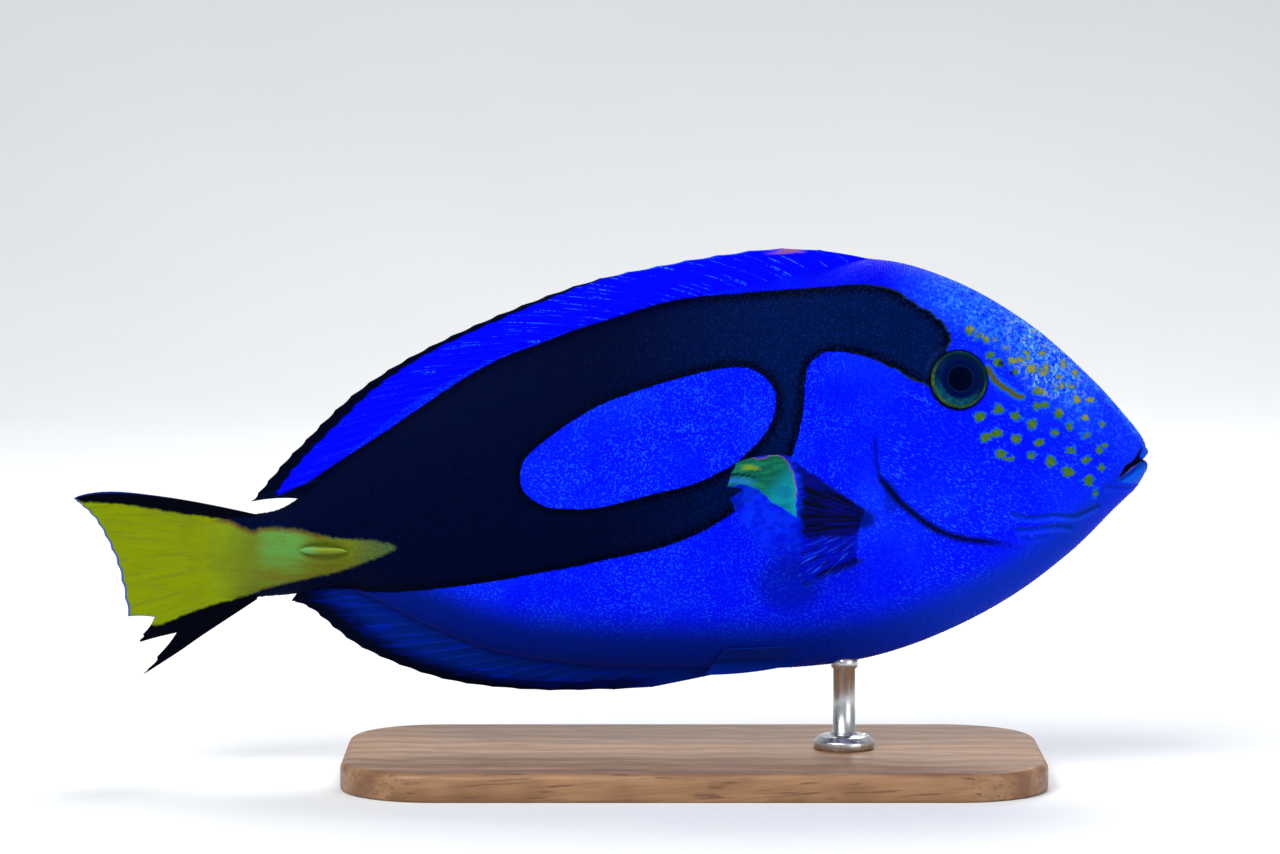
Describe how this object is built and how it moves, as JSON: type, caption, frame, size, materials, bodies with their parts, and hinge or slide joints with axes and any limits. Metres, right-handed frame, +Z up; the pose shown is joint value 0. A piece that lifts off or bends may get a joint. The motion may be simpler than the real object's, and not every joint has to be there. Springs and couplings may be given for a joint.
{
  "type": "regal blue tang model",
  "caption": "Life-size regal blue tang, a deep flat reef fish with folded dorsal fin and yellow tail, held over a flat base by one short rod.",
  "frame": {"origin": "on the floor under the middle of the whole model's length and width, at the base's underside", "axes": "+X towards the snout, +Z up, +Y towards the fish's left side"},
  "size_m": [0.2314, 0.074, 0.1135],
  "materials": {
    "skin_blue": "satin scaly skin, vivid royal blue",
    "skin_navy": "satin scaly skin, blue-black with a blue oval and belly",
    "fin_yellow": "satin rayed membrane, yellow with black edges",
    "blade_yellow": "smooth horn",
    "eye": "wet gloss, black pupil in a teal iris",
    "stand_steel": "fine brushed",
    "stand_wood": "satin oiled hardwood"
  },
  "bodies": {
    "root": {"head": "skin_blue", "lower_jaw": "skin_blue", "gill_cover_right": "skin_blue", "gill_cover_left": "skin_blue", "dorsal_fin": "skin_blue", "pelvic_fin_right": "skin_blue", "pelvic_fin_left": "skin_blue", "trunk": "skin_navy", "tail_stalk": "skin_navy", "anal_fin": "skin_navy", "tail_fin": "fin_yellow", "pectoral_fin_right": "fin_yellow", "pectoral_fin_left": "fin_yellow", "scalpel_right": "blade_yellow", "scalpel_left": "blade_yellow", "eye_right": "eye", "eye_left": "eye", "stand_rod": "stand_steel", "stand_base": "stand_wood"}
  },
  "joints": []
}
